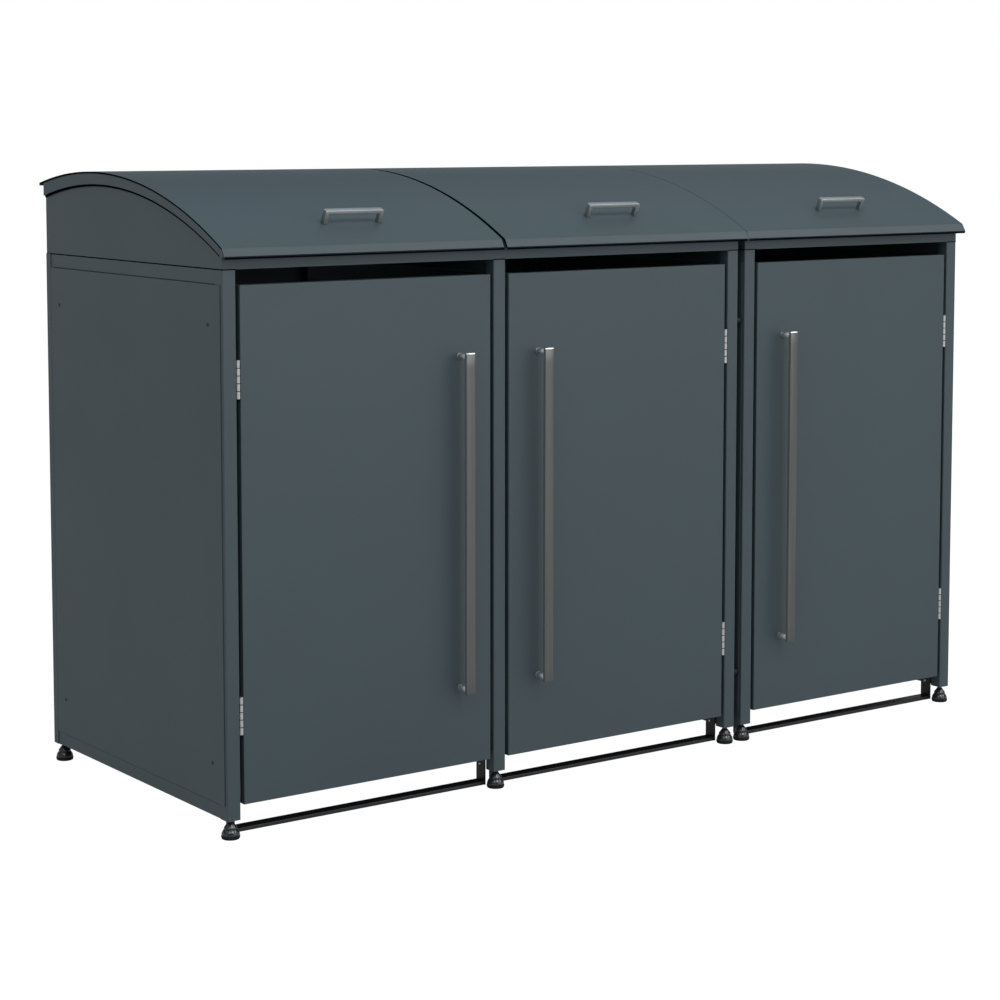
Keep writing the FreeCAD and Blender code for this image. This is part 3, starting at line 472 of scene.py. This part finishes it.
# Painted shade: dark strips inside the outer side flanges of the lids, for the shade under the flanges, as
# far below the flange's own arc as below says. That arc
#  has its centre forward of the lid's centre and higher.
flangeShade = {
    "width": 3.2, "thick": 5.6, "edge": 0.5, "radius": 1125.0, "below": 4.6, "inside": 0.4,
    "forward": 18.0, "rise": 9.0, "front": 4.0, "rear": 3.0,
}
for lid, post, side in outerSides:
    low, high = box(f"side_frame_{post}")
    reach = (flangeShade["inside"] + flangeShade["width"] / 2) * mm
    x = low[0] - reach if side < 0 else high[0] + reach
    crestY, centreZ = lidCentre(lid)
    centre = (crestY - flangeShade["forward"] * mm, centreZ + flangeShade["rise"] * mm)
    radius = (flangeShade["radius"] - flangeShade["below"] + flangeShade["thick"] / 2) * mm
    path = lidArc(x, centre, radius, frontFace + flangeShade["front"] * mm, backFace - flangeShade["rear"] * mm)
    flangeStrip = sweptBar(path, flangeShade, (1, 0, 0))
    finishPiece(f"lid_flange_shade_strip_{post}", flangeStrip, f"lid_cover_{lid}", "rubber", shadeStripMaterial)

# Painted shade: dark strips under the outer side edges of every lid sheet, and below the edge of its front
# lip, for the shade lines there
sheetEdgeShade = {"width": 1.8, "thick": 2.2, "edge": 0.4, "inside": 0.1, "under": 1.5, "end": 10.0}
lipShade = {"width": 1.5, "thick": 5.6, "edge": 0.5, "below": 4.0, "end": 1.0, "lean": 0.9}
for lid in (1, 2, 3):
    low, high = box(f"lid_{lid}")
    radius = (lidShape["radius"] - sheetEdgeShade["under"] - sheetEdgeShade["thick"] / 2) * mm
    front, rear = low[1] + sheetEdgeShade["end"] * mm, high[1] - sheetEdgeShade["end"] * mm
    reach = (sheetEdgeShade["inside"] + sheetEdgeShade["width"] / 2) * mm
    left, right = low[0] + reach, high[0] - reach
    sides = {1: (left, right), 2: (left,), 3: (right,)}[lid]
    stripShapes = [sweptBar(lidArc(x, lidCentre(lid), radius, front, rear), sheetEdgeShade, (1, 0, 0)) for x in sides]
    lipY = low[1] + lipShade["lean"] * mm
    lipZ = frameHigh + (lidShape["lip"] - lipShade["below"] + lipShade["thick"] / 2) * mm
    leftEnd, rightEnd = low[0] + lipShade["end"] * mm, high[0] - lipShade["end"] * mm
    path = np.linspace((leftEnd, lipY, lipZ), (rightEnd, lipY, lipZ), 10)
    stripShapes.append(sweptBar(path, lipShade, (0, 1, 0)))
    finishPiece(f"lid_edge_shade_strips_{lid}", joined(stripShapes), f"lid_cover_{lid}", "rubber", shadeStripMaterial)

# Lines over a whole lid; level and ramp are the angles off the crest where the line starts and ends to rise
lidLine = {"lipDepth": 10.2, "lipLift": 0.3, "rear": 9.0, "bend": 4.0, "level": 0.03, "ramp": 0.08}


# From the foot of the lip up its slope, round a soft bend and over the arc to the rear edge, at a depth
# under the outer face; off the crest the line rises by up to the last value
def lidPath(lid, x, under, rise=0.0):
    low, high = box(f"lid_{lid}")
    y, z = lidCentre(lid)
    base = (lidShape["radius"] - under) * mm

    def onArc(angle):
        lift = np.clip((np.abs(angle) - lidLine["level"]) / lidLine["ramp"], 0.0, 1.0)
        radius = base + rise * mm * lift
        return np.stack([y + radius * np.sin(angle), z + radius * np.cos(angle)], axis=-1)

    lipZ = frameHigh + (lidShape["lip"] + lidLine["lipLift"]) * mm
    lipFoot = np.array([low[1] + (under - rise) * mm, lipZ])
    start = math.asin((low[1] + (lidLine["lipDepth"] - rise) * mm - y) / base)
    end = math.asin((high[1] - lidLine["rear"] * mm - y) / base)
    bend = lidLine["bend"] * mm
    corner, arcStart = onArc(start), start + bend / base
    slopeEnd = corner + (lipFoot - corner) / np.linalg.norm(lipFoot - corner) * bend
    over = onArc(np.linspace(arcStart, end, 60))
    line = np.concatenate([[lipFoot], bent(slopeEnd, corner, over[0], 6), over[1:]])
    return np.column_stack([np.full(len(line), x), line])


# Painted shade: dark strips in the joint of lids 1 and 2, round the edges of both sheets, that widen the
# shade line of the joint
gapShade = {"width": 2.3, "thick": 2.5, "edge": 0.4, "inside": 0.45, "under": 1.25, "rise": 0.35}
gapShadePlaces = {1: box("lid_1")[1][0] - gapShade["inside"] * mm, 2: box("lid_2")[0][0] + gapShade["inside"] * mm}
for lid, x in gapShadePlaces.items():
    bar = sweptBar(lidPath(lid, x, gapShade["under"], gapShade["rise"]), gapShade, (1, 0, 0))
    finishPiece(f"lid_gap_shade_{lid}", bar, f"lid_cover_{lid}", "rubber", shadeStripMaterial)

# Closing strip on lid 2, which fills the joint between the two units but for a fine line
strip = {"width": 4.2, "thick": 1.2, "edge": 0.3, "under": 0.8}
x = box("lid_2")[1][0] + strip["width"] / 2 * mm
bar = sweptBar(lidPath(2, x, strip["under"]), strip, (1, 0, 0))
finishPiece("unit_joint_strip", bar, "lid_cover_2", "powder_coat")
print("shade strips and welds")

# Door handles: bar with softened edges, two standoffs with a collar, screws behind the door skin
doorGrip = {
    "thick": 8.0, "edge": 1.3, "end": 9.0, "tip": ((1.7, 0.0), (1.0, 0.7), (0.35, 1.6), (0.0, 2.6)),
    "tipSide": 0.4, "standoff": 12.0, "collar": 13.0, "collarHeight": 0.6, "step": 0.2, "soft": 0.4,
}
barFinish = {"end": 1, "side": 2, "standoff": 3}
for number in (1, 2, 3):
    low, high = box(f"door_handle_{number}")
    doorFace = box(f"door_{number}")[0][1]
    middle = (low[0] + high[0]) / 2
    barY = low[1] + doorGrip["thick"] / 2 * mm
    path = np.linspace((middle, barY, low[2]), (middle, barY, high[2]), 24)
    bar = sweptBar(path, {**doorGrip, "width": (high[0] - low[0]) / mm}, (1, 0, 0))

    reach = (doorFace - low[1]) / mm - doorGrip["thick"]
    r, collar, top = doorGrip["standoff"] / 2, doorGrip["collar"] / 2, doorGrip["collarHeight"]
    profile = [(0.4 * r, 0), (collar, 0), (collar, top), (r, top + doorGrip["step"]), (r, reach)]
    profile = roundedProfile(profile, doorGrip["soft"], 3)
    ends = (low[2] + doorGrip["end"] * mm, high[2] - doorGrip["end"] * mm)
    standoffs = [turned(profile, (middle, doorFace, z), (0, -1, 0), 48) for z in ends]
    piece = finishPiece(
        f"door_bar_{number}", joined([bar, *standoffs]), f"door_leaf_{number}", "handle_steel"
    )
    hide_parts(f"door_handle_{number}")

    # Painted highlight on the top end, where the faces that look upwards get a polished copy of the steel,
    # painted light on the matt narrow faces, and satin standoffs
    for material in (paintedHighlightSteel, litSideSteel, crossSteel):
        piece.data.materials.append(material)
    for face in piece.data.polygons:
        if face.index >= len(bar[1]):
            face.material_index = barFinish["standoff"]
        # Painted highlight: only faces that look upwards get the polished steel, so the bottom end stays
        # satin
        elif face.normal.z > 0.3:  # looks upwards
            face.material_index = barFinish["end"]
        # Painted light: the narrow faces get a lighter matt grey than the steel would show there
        elif abs(face.normal.x) > 0.9:  # looks sideways
            face.material_index = barFinish["side"]
    screws = [screwAt((middle, doorFace + sheet, z), (0, 1, 0)) for z in ends]
    finishPiece(f"door_bar_screws_{number}", joined(screws), f"door_leaf_{number}", "hinge_steel")

# Lid handles: a solid bow square to the slope of the lid, with two screws under the sheet
lidGrip = {
    "width": 12.0, "thick": 9.0, "height": 30.0, "length": 138.0, "place": 66.0, "shift": 12.0,
    "outer": 4.0, "inner": 1.6, "edge": 0.9, "edgeAngle": 35.0,
}


# Quarter circle from the x direction to the z direction
def quarterArc(x, z, radius, steps=6):
    angles = np.radians(np.linspace(0, 90, steps + 1))
    return np.column_stack([x + radius * np.cos(angles), z + radius * np.sin(angles)])


# Half of the bow's outside and of its hollow, from the foot to the top, and both mirrored
half, tall, thick = lidGrip["length"] / 2, lidGrip["height"], lidGrip["thick"]
outer, inner = lidGrip["outer"], lidGrip["inner"]
outside = np.concatenate([[(half, 0.0)], quarterArc(half - outer, tall - outer, outer)])
innerArc = quarterArc(half - thick - inner, tall - thick - inner, inner)
hollow = np.concatenate([[(half - thick, 0.0)], innerArc])
outline = np.concatenate([outside, outside[::-1] * (-1, 1), hollow * (-1, 1), hollow[::-1]])

lean = math.asin((lidShape["crest"] - lidGrip["place"]) / lidShape["radius"])
normal = np.array([0, -math.sin(lean), math.cos(lean)])
across = np.array([0, math.cos(lean), math.sin(lean)])
bow = outline[:, :1] * (1, 0, 0) + outline[:, 1:] * normal
for number in (1, 2, 3):
    low, high = box(f"lid_{number}")
    foot = np.array([(low[0] + high[0]) / 2 + lidGrip["shift"] * mm, *lidCentre(number)])
    foot += normal * lidShape["radius"] * mm
    rings = [foot + (bow + across * shift) * mm for shift in (-lidGrip["width"] / 2, lidGrip["width"] / 2)]
    piece = finishPiece(f"lid_bow_{number}", skin(rings), f"lid_cover_{number}", "handle_steel", crossSteel)
    softened = piece.modifiers.new("softened", "BEVEL")
    softened.width = lidGrip["edge"] * mm
    softened.segments = 3
    softened.limit_method = "ANGLE"
    softened.angle_limit = math.radians(lidGrip["edgeAngle"])
    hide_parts(f"lid_handle_{number}")
    legs = [np.array([side * (half - thick / 2) * mm, 0, 0]) for side in (-1, 1)]
    screws = [screwAt(foot + leg - normal * sheet, -normal) for leg in legs]
    finishPiece(f"lid_bow_screws_{number}", joined(screws), f"lid_cover_{number}", "hinge_steel")
print("handles")

# Levelling feet, as (radius, height) outlines: rubber pad, then shoulder, groove, cone and top of the base,
# and a threaded stem. Flat faces end at the core, and the top's heights count from the gap under the frame.
footLook = {
    "core": 5.67, "pad": [(17.3, 0.0), (18.1, 1.2), (18.9, 5.2), (18.9, 6.2), (18.1, 7.0)],
    "shoulder": [(18.1, 7.2), (18.1, 10.4), (16.7, 14.4), (14.0, 18.6)],
    "groove": [(12.2, 18.9), (12.2, 20.6)],
    "cone": [(13.4, 20.8), (13.2, 23.0), (9.8, 27.4), (7.2, 30.9), (5.0, 33.7)],
    "top": [(5.0, -1.8), (5.6, -1.6), (5.6, 0.0), (4.0, 0.0)], "gap": 0.3,
    "stem": 4.0, "pitch": 1.25, "cut": 0.55, "padSoft": 0.7, "baseSoft": 0.8,
}
core, padTop = footLook["core"], footLook["pad"][-1][1]
padProfile = roundedProfile([(core, 0.0), *footLook["pad"], (core, padTop)], footLook["padSoft"], 3)
top = frameLow / mm - footLook["gap"]
baseProfile = [(core, padTop), *footLook["shoulder"], *footLook["groove"], *footLook["cone"]]
baseProfile += [(radius, top + height) for radius, height in footLook["top"]]
baseProfile = roundedProfile(baseProfile, footLook["baseSoft"], 3)
stem, pitch = footLook["stem"], footLook["pitch"]
for number in range(1, 11):
    low, high = box(f"foot_{number}")
    centre = ((low[0] + high[0]) / 2, (low[1] + high[1]) / 2, low[2])
    body = f"levelling_foot_{number}"
    pad = turned(padProfile, centre, (0, 0, 1), 48)
    finishPiece(f"levelling_pad_{number}", pad, body, "rubber")
    base = turned(baseProfile, centre, (0, 0, 1), 48)
    piece = finishPiece(f"levelling_base_{number}", base, body, "black_plastic")
    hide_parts(f"foot_{number}")

    stemTop = high[2] / mm
    thread = []
    for turn in range(int((stemTop - top) / pitch)):
        start = top + turn * pitch
        thread += [(stem - footLook["cut"], start), (stem, start + pitch / 2)]
    thread += [(stem - 0.6, stemTop - 0.4), (stem - 1.4, stemTop)]  # the chamfered end
    finishPiece(f"levelling_stem_{number}", turned(thread, centre, (0, 0, 1), 32), body, "hinge_steel")
print("feet")

# Floor rails: a screw on the inner face of each upright, and two rivets in the ear above it
railScrews = {
    "bar": 3.0, "forward": 12.0, "height": 47.0, "scale": 0.75, "ear": 12.5, "earHeights": (92.0, 108.0),
}
for number in (1, 2, 3):
    low, high = box(f"threshold_{number}")
    fixings = []
    for face, side in ((low[0] + railScrews["bar"] * mm, 1), (high[0] - railScrews["bar"] * mm, -1)):
        place = (face, high[1] - railScrews["forward"] * mm, railScrews["height"] * mm)
        fixings.append(screwAt(place, (side, 0, 0), railScrews["scale"]))
        for height in railScrews["earHeights"]:
            fixings.append(rivetAt((face, low[1] + railScrews["ear"] * mm, height * mm), (side, 0, 0)))
    finishPiece(f"rail_screws_{number}", joined(fixings), "store", "hinge_steel")

# Door hinges: rivets through the leaves, and black washers between the five knuckles
hinge = {"length": 75.0, "leaf": 2.0, "rivets": (15.0, 60.0), "inward": 16.0, "knuckle": 15.0}
washer = {"radius": 4.25, "core": 1.7, "height": 1.9, "gap": 8.5, "inward": 2.0, "soft": 0.4}
core, radius, height = washer["core"], washer["radius"], washer["height"]
ring = roundedProfile([(core, 0), (radius, 0), (radius, height), (core, height)], washer["soft"], 3)
for number in (1, 2, 3):
    low, high = box(f"door_hinge_leaf_{number}")
    doorLow, doorHigh = box(f"door_{number}")
    onLeft = low[0] < (doorLow[0] + doorHigh[0]) / 2
    side, doorEdge = (-1, doorLow[0]) if onLeft else (1, doorHigh[0])
    bottoms = (low[2], high[2] - hinge["length"] * mm)

    face, y = doorEdge + side * hinge["leaf"] * mm, frontFace + hinge["inward"] * mm
    heights = [bottom + rise * mm for bottom in bottoms for rise in hinge["rivets"]]
    rivets = [rivetAt((face, y, z), (side, 0, 0)) for z in heights]
    finishPiece(f"hinge_rivets_{number}", joined(rivets), f"door_leaf_{number}", "hinge_steel")

    pinX, pinY = doorEdge + side * washer["gap"] / 2 * mm, frontFace + washer["inward"] * mm
    rises = [(hinge["knuckle"] * step - height / 2) * mm for step in (1, 2, 3, 4)]
    heights = [bottom + rise for bottom in bottoms for rise in rises]
    washers = [turned(ring, (pinX, pinY, z), (0, 0, 1), 28) for z in heights]
    finishPiece(f"knuckle_washers_{number}", joined(washers), "store", "black_plastic")
print("rail screws and hinges")

# Studio: a matt floor that stays pale under the shadow, with size in metres and drop in millimetres
studio = {
    "floor": "#b3b3b3", "size": 60.0, "drop": 0.3, "glow": 0.9, "strength": 1.12, "mirrorShare": 0.35,
}
white = (1, 1, 1, 1)
reach = studio["size"] / 2
floorMesh = bpy.data.meshes.new("studio_floor")
floorMesh.from_pydata(
    [(-reach, -reach, 0), (reach, -reach, 0), (reach, reach, 0), (-reach, reach, 0)], [], [(0, 1, 2, 3)]
)
floor = bpy.data.objects.new("studio_floor", floorMesh)
floor.location.z = -studio["drop"] * mm
bpy.context.scene.collection.objects.link(floor)


# 1 for camera rays, and a share for rays from metal or glass, where the masks are 1 if there are any
def backdropRays(tree, *masks):
    rays = addNode(tree, "ShaderNodeLightPath").outputs
    mirrored = addNode(tree, "ShaderNodeMath", {
        0: rays["Is Glossy Ray"], 1: rays["Is Transmission Ray"],
    }, operation="MAXIMUM").outputs["Value"]
    for factor in (studio["mirrorShare"], *masks):
        dimmed = addNode(tree, "ShaderNodeMath", {0: mirrored, 1: factor}, operation="MULTIPLY")
        mirrored = dimmed.outputs["Value"]
    seen = addNode(tree, "ShaderNodeMath", {0: rays["Is Camera Ray"], 1: mirrored}, operation="MAXIMUM")
    return seen.outputs["Value"]


floorMaterial, tree, shader = newMaterial("matt white studio floor")
shader.inputs["Base Color"].default_value = toLinear(studio["floor"])
shader.inputs["Roughness"].default_value = 0.9
shader.inputs["Specular IOR Level"].default_value = 0.1
seen = addNode(tree, "ShaderNodeMath", {0: backdropRays(tree), 1: studio["glow"]}, operation="MULTIPLY")
glow = addNode(tree, "ShaderNodeEmission", {"Color": white, "Strength": studio["strength"]})
blended = addNode(tree, "ShaderNodeMixShader", {
    0: seen.outputs["Value"], 1: shader.outputs["BSDF"], 2: glow.outputs["Emission"],
})
tree.links.new(blended.outputs["Shader"], tree.nodes["Material Output"].inputs["Surface"])
floorMesh.materials.append(floorMaterial)
floor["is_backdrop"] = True

# Light of the studio by height over the horizon: bright low walls, dim middle, cool ceiling
skyBands = [
    (0.17, (0.76, 0.81, 0.79)), (0.23, (0.083, 0.09, 0.092)),
    (0.50, (0.083, 0.09, 0.092)), (0.60, (0.548, 0.664, 0.755)),
]
world = bpy.data.worlds.new("studio")
bpy.context.scene.world = world
world.use_nodes = True
tree = world.node_tree
way = addNode(tree, "ShaderNodeTexCoord").outputs["Generated"]
upward = addNode(tree, "ShaderNodeSeparateXYZ", {"Vector": way}).outputs["Z"]
bands = addNode(tree, "ShaderNodeValToRGB", {"Fac": upward})
while len(bands.color_ramp.elements) < len(skyBands):
    bands.color_ramp.elements.new(0.5)
for element, (height, colour) in zip(bands.color_ramp.elements, skyBands):
    element.position = height
    element.color = (*colour, 1.0)
room = tree.nodes["Background"]
tree.links.new(bands.outputs["Color"], room.inputs["Color"])
room.inputs["Strength"].default_value = 1.0
wall = addNode(tree, "ShaderNodeBackground", {"Color": white, "Strength": 1.0})

# Mirrors see the same white wall up to the top of the low band
lowBand = addNode(tree, "ShaderNodeMath", {0: upward, 1: skyBands[0][0]}, operation="LESS_THAN")
chosen = addNode(tree, "ShaderNodeMixShader", {
    0: backdropRays(tree, lowBand.outputs["Value"]), 1: room.outputs["Background"],
    2: wall.outputs["Background"],
})
tree.links.new(chosen.outputs["Shader"], tree.nodes["World Output"].inputs["Surface"])


# Lamps: places and sizes in metres, power in watts
def softbox(name, place, target, width, height, power, colour="#ffffff"):
    light = bpy.data.lights.new(name, "AREA")
    light.shape = "RECTANGLE"
    light.size = width
    light.size_y = height
    light.energy = power
    light.color = toLinear(colour)[:3]
    lamp = bpy.data.objects.new(name, light)
    lamp.location = place
    lamp.rotation_mode = "QUATERNION"
    lamp.rotation_quaternion = (Vector(target) - Vector(place)).to_track_quat("-Z", "Y")
    bpy.context.scene.collection.objects.link(lamp)


softbox("far_softbox", (0.0, -6.5, 7.0), (0, 0, 0.9), 4.0, 3.0, 285)  # the lids and the fronts
softbox("right_softbox", (4.5, -4.0, 5.0), (0, 0.2, 0.8), 3.0, 3.0, 116)
softbox("left_softbox", (-4.0, -3.5, 4.5), (0, 0.2, 0.8), 3.0, 3.0, 80)
softbox("side_softbox", (-5.0, -0.6, 1.8), (0, 0.2, 0.6), 3.0, 3.0, 12, "#f2ffff")  # the left side panel
softbox("low_softbox", (1.8, -5.2, 2.0), (0.2, 0, 0.7), 4.4, 2.0, 57)  # the doors
softbox("rear_softbox", (4.0, 2.8, 5.2), (0, 0.2, 0.9), 3.0, 3.0, 4)

# Camera at the photograph's angle: lens in millimetres, place in metres, angles in radians
view = {"lens": 87.56, "yaw": 0.6240, "pitch": 0.0912, "place": (-3.2846, -4.4583, 1.3903), "shift": -0.15}
cameraData = bpy.data.cameras.new("photo_camera")
cameraData.sensor_width = 36
cameraData.lens = view["lens"]
cameraData.shift_y = view["shift"]
cameraData.clip_end = 100
camera = bpy.data.objects.new("photo_camera", cameraData)
camera.location = view["place"]
camera.rotation_euler = (math.pi / 2 - view["pitch"], 0, -view["yaw"])
bpy.context.scene.collection.objects.link(camera)
bpy.context.scene.camera = camera
bpy.context.scene.view_settings.view_transform = "Standard"
print("studio")

low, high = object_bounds()
